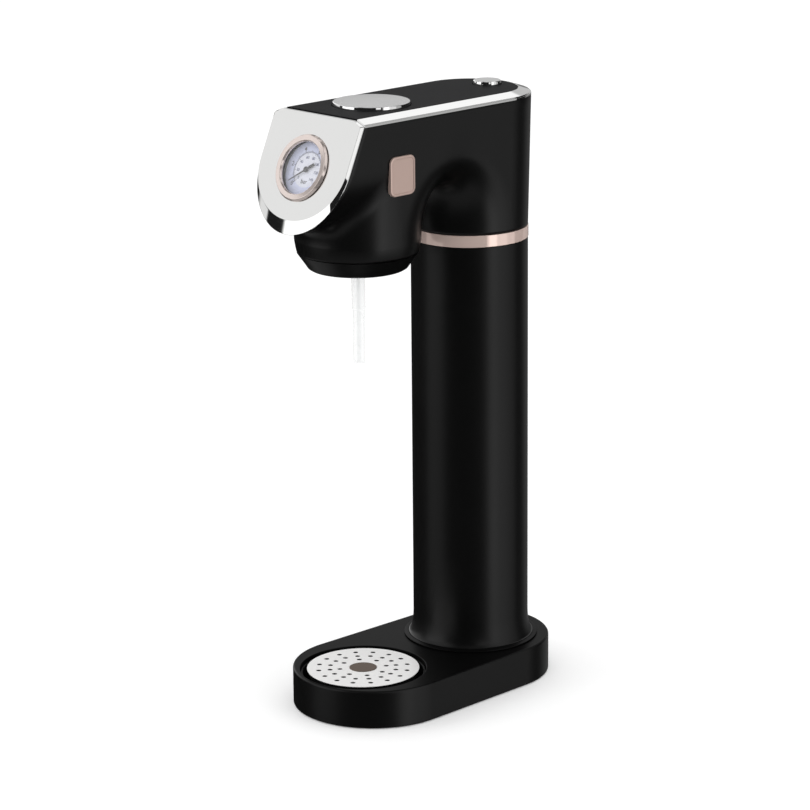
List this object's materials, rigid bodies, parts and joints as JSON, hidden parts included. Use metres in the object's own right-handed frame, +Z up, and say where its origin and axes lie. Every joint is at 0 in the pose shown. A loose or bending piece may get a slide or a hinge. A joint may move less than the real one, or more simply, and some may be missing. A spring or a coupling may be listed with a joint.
{
  "type": "sparkling water maker",
  "caption": "Slim countertop sparkling water maker: round column with gas cylinder inside, arched head with press button, pressure gauge and nozzle over a drip tray.",
  "frame": {"origin": "on the surface it stands on, under the middle of its footprint", "axes": "+Z up the column; -Y is the front, with the gauge and the nozzle; +X is the side that carries the small plate"},
  "size_m": [0.112, 0.223, 0.416],
  "materials": {
    "satin_black": "satin",
    "cover_black": "fine matte",
    "inner_black": "matte",
    "inner_grey": "matte",
    "chrome": "polished",
    "satin_silver": "satin",
    "rose_gold": "satin rose gold plate",
    "brass": "machined",
    "steel": "bright",
    "rubber": "matte",
    "white_plate": "pale satin",
    "cylinder_metal": "satin",
    "clear_tube": "translucent",
    "lens_glass": "clear",
    "dial_white": "printed",
    "needle_black": "satin"
  },
  "bodies": {
    "frame": {"base_shell": "satin_black", "base_plate": "inner_black", "foot_1": "rubber", "foot_2": "rubber", "foot_3": "rubber", "foot_4": "rubber", "base_screw_1": "steel", "base_screw_2": "steel", "base_screw_3": "steel", "base_screw_4": "steel", "column_tube": "satin_black", "ring_band": "rose_gold", "neck_sleeve": "inner_grey", "cylinder_guide": "inner_grey", "head_shell": "satin_black", "side_badge": "rose_gold", "top_trim": "chrome", "top_cover": "cover_black", "front_fascia": "chrome", "valve_block": "brass", "cylinder_seal": "rubber", "lever_pivot_pin": "steel", "button_guide": "inner_black", "button_spring": "steel", "relief_valve_body": "brass", "release_spring": "steel", "nozzle_collar": "satin_black", "nozzle_body": "inner_grey", "bottle_socket": "inner_black", "bottle_seal": "rubber", "tube_nut": "inner_grey", "carbonating_tube": "clear_tube", "safety_valve": "brass", "gas_line": "steel", "gauge_line": "steel", "gauge_case": "inner_black", "gauge_bezel": "rose_gold", "gauge_lens": "lens_glass", "gauge_dial": "dial_white", "gauge_frame": "brass", "bourdon_tube": "brass"},
    "button": {"button_cap": "satin_silver", "button_stem": "inner_grey"},
    "lever": {"actuating_lever": "steel"},
    "push_pin": {"push_pin": "steel"},
    "cylinder": {"gas_cylinder": "cylinder_metal", "cylinder_valve": "brass"},
    "cylinder_pin": {"cylinder_pin": "steel"},
    "release": {"release_knob": "chrome"},
    "gauge_sector": {"sector_gear": "brass"},
    "needle": {"gauge_needle": "needle_black", "gauge_pinion": "brass"},
    "link": {"gauge_link": "steel"},
    "tray": {"drip_tray": "inner_black"},
    "grille": {"drip_grille": "white_plate", "grille_disc": "rose_gold"}
  },
  "joints": [
    {"name": "button_press", "type": "slide", "parent": "frame", "child": "button", "axis": [0, 0, -1], "range_m": [0, 0.004], "stiffness_N_per_m": 1500, "springref_m": -0.002, "deforming": ["button_spring"]},
    {"name": "lever_tilt", "type": "hinge", "parent": "frame", "child": "lever", "pos_m": [0, 0.08565, 0.39], "axis": [1, 0, 0], "range_deg": [0, 1.95]},
    {"name": "push_pin_drop", "type": "slide", "parent": "frame", "child": "push_pin", "axis": [0, 0, -1], "range_m": [0, 0.00096]},
    {"name": "cylinder_pin_drop", "type": "slide", "parent": "cylinder", "child": "cylinder_pin", "axis": [0, 0, -1], "range_m": [0, 0.00096]},
    {"name": "cylinder_unscrew", "type": "hinge", "parent": "frame", "child": "cylinder", "pos_m": [0, 0.05765, 0.02], "axis": [0, 0, -1], "range_deg": [0, 1080]},
    {"name": "release_press", "type": "slide", "parent": "frame", "child": "release", "axis": [0, 0, -1], "range_m": [0, 0.002], "stiffness_N_per_m": 3000, "springref_m": -0.001, "deforming": ["release_spring"]},
    {"name": "sector_swing", "type": "hinge", "parent": "frame", "child": "gauge_sector", "pos_m": [0, -0.09197, 0.36243], "axis": [0, -0.9135, 0.4067], "range_deg": [0, 50], "stiffness_Nm_per_rad": 0.01},
    {"name": "needle_turn", "type": "hinge", "parent": "frame", "child": "needle", "pos_m": [0, -0.09154, 0.37865], "axis": [0, -0.9135, 0.4067], "range_deg": [-250, 0]},
    {"name": "link_turn", "type": "hinge", "parent": "gauge_sector", "child": "link", "pos_m": [0.00399, -0.09355, 0.36109], "axis": [0, -0.9135, 0.4067], "range_deg": [-50, 0]},
    {"name": "tray_lift", "type": "slide", "parent": "frame", "child": "tray", "axis": [0, 0, 1], "range_m": [0, 0.05]},
    {"name": "grille_lift", "type": "slide", "parent": "tray", "child": "grille", "axis": [0, 0, 1], "range_m": [0, 0.03]}
  ],
  "couplings": [
    {"joint": "lever_tilt", "follows": "button_press", "rad_per_m": 8.4602},
    {"joint": "push_pin_drop", "follows": "button_press", "ratio": 0.2369},
    {"joint": "cylinder_pin_drop", "follows": "button_press", "ratio": 0.2369},
    {"joint": "needle_turn", "follows": "sector_swing", "ratio": -5},
    {"joint": "link_turn", "follows": "sector_swing", "ratio": -1}
  ]
}
